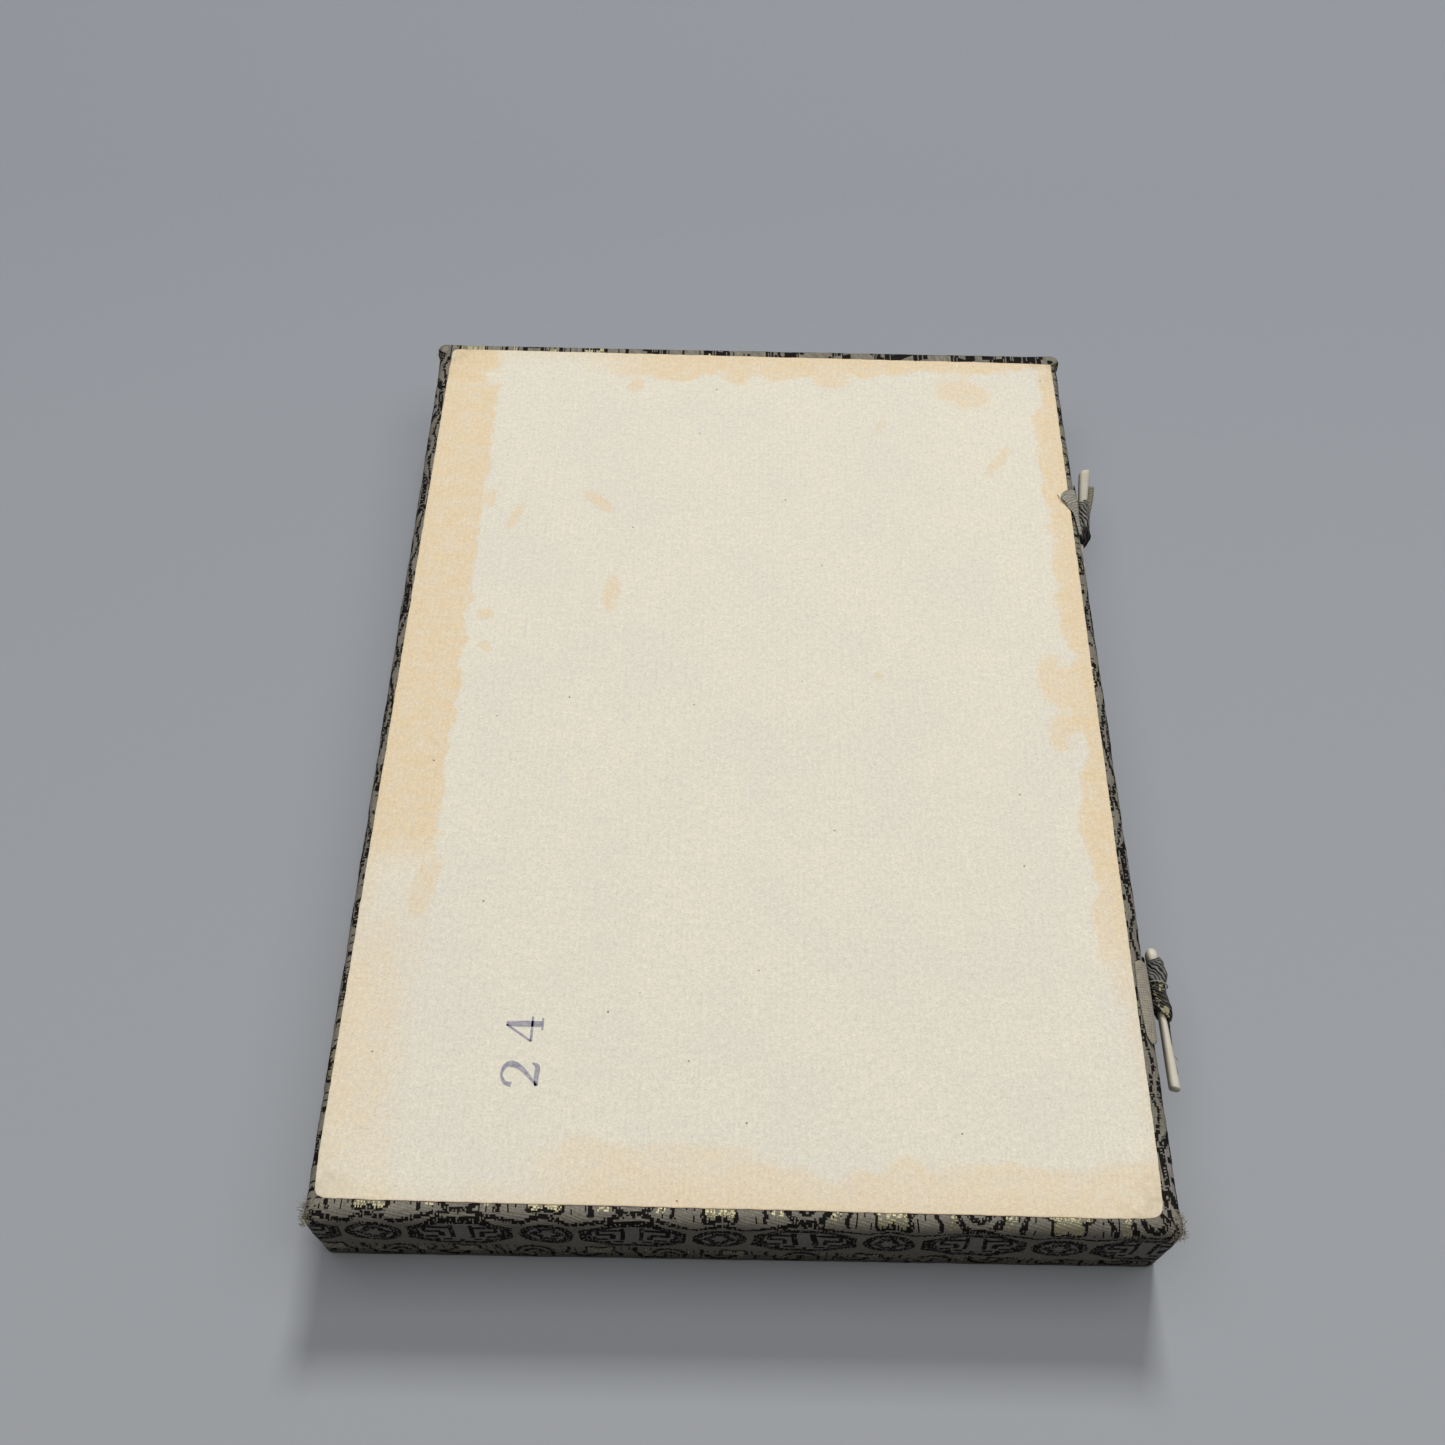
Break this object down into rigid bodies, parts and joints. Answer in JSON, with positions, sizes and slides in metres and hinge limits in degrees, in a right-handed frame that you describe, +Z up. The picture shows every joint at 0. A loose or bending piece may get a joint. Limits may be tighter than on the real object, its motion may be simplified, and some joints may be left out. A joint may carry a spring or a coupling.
{
  "type": "card deck box",
  "caption": "Flat brocade-covered presentation box lying upside down on its hinged lid, closed by bone pins pushed through cloth loops.",
  "frame": {"origin": "on the table under the middle of the box's outline, at the lid's outer face", "axes": "+X across the box towards the clasps, with the cloth hinge on -X; +Y along the box; +Z up, through the lid, then the tray, to the papered underside"},
  "size_m": [0.1613, 0.2138, 0.0236],
  "materials": {
    "brocade": "figured silk brocade in grey, black and old gold",
    "lining_silk": "plain pale gold silk over card",
    "greyboard": "raw grey board",
    "wadding": "soft white wadding",
    "paper": "cream laid paper with glue and water stains",
    "bone": null
  },
  "bodies": {
    "lid": {"lid_board": "greyboard", "lid_wadding": "wadding", "lid_cover": "brocade", "lid_lining": "lining_silk", "hinge_cloth": "brocade", "inner_hinge_strip": "lining_silk", "near_strap": "brocade", "far_strap": "brocade"},
    "tray": {"left_wall_board": "greyboard", "right_wall_board": "greyboard", "near_wall_board": "greyboard", "far_wall_board": "greyboard", "base_board": "greyboard", "tray_cover": "brocade", "base_infill_card": "greyboard", "base_paper": "paper", "wall_lining": "lining_silk", "floor_pad": "wadding", "floor_lining": "lining_silk", "near_loop": "brocade", "far_loop": "brocade"},
    "near_pin": {"near_bone_pin": "bone"},
    "far_pin": {"far_bone_pin": "bone"}
  },
  "joints": [
    {"name": "tray_hinge", "type": "hinge", "parent": "lid", "child": "tray", "pos_m": [-0.0776, 0, 0.00387], "axis": [0, -1, 0], "range_deg": [0, 100], "deforming": ["hinge_cloth", "inner_hinge_strip", "near_loop", "far_loop"]},
    {"name": "near_pin_slide", "type": "slide", "parent": "lid", "child": "near_pin", "axis": [-0.0262, 0.9997, 0], "range_m": [0, 0.0237], "deforming": ["near_strap"]},
    {"name": "far_pin_slide", "type": "slide", "parent": "lid", "child": "far_pin", "axis": [-0.0436, -0.999, 0], "range_m": [0, 0.0188], "deforming": ["far_strap"]}
  ]
}
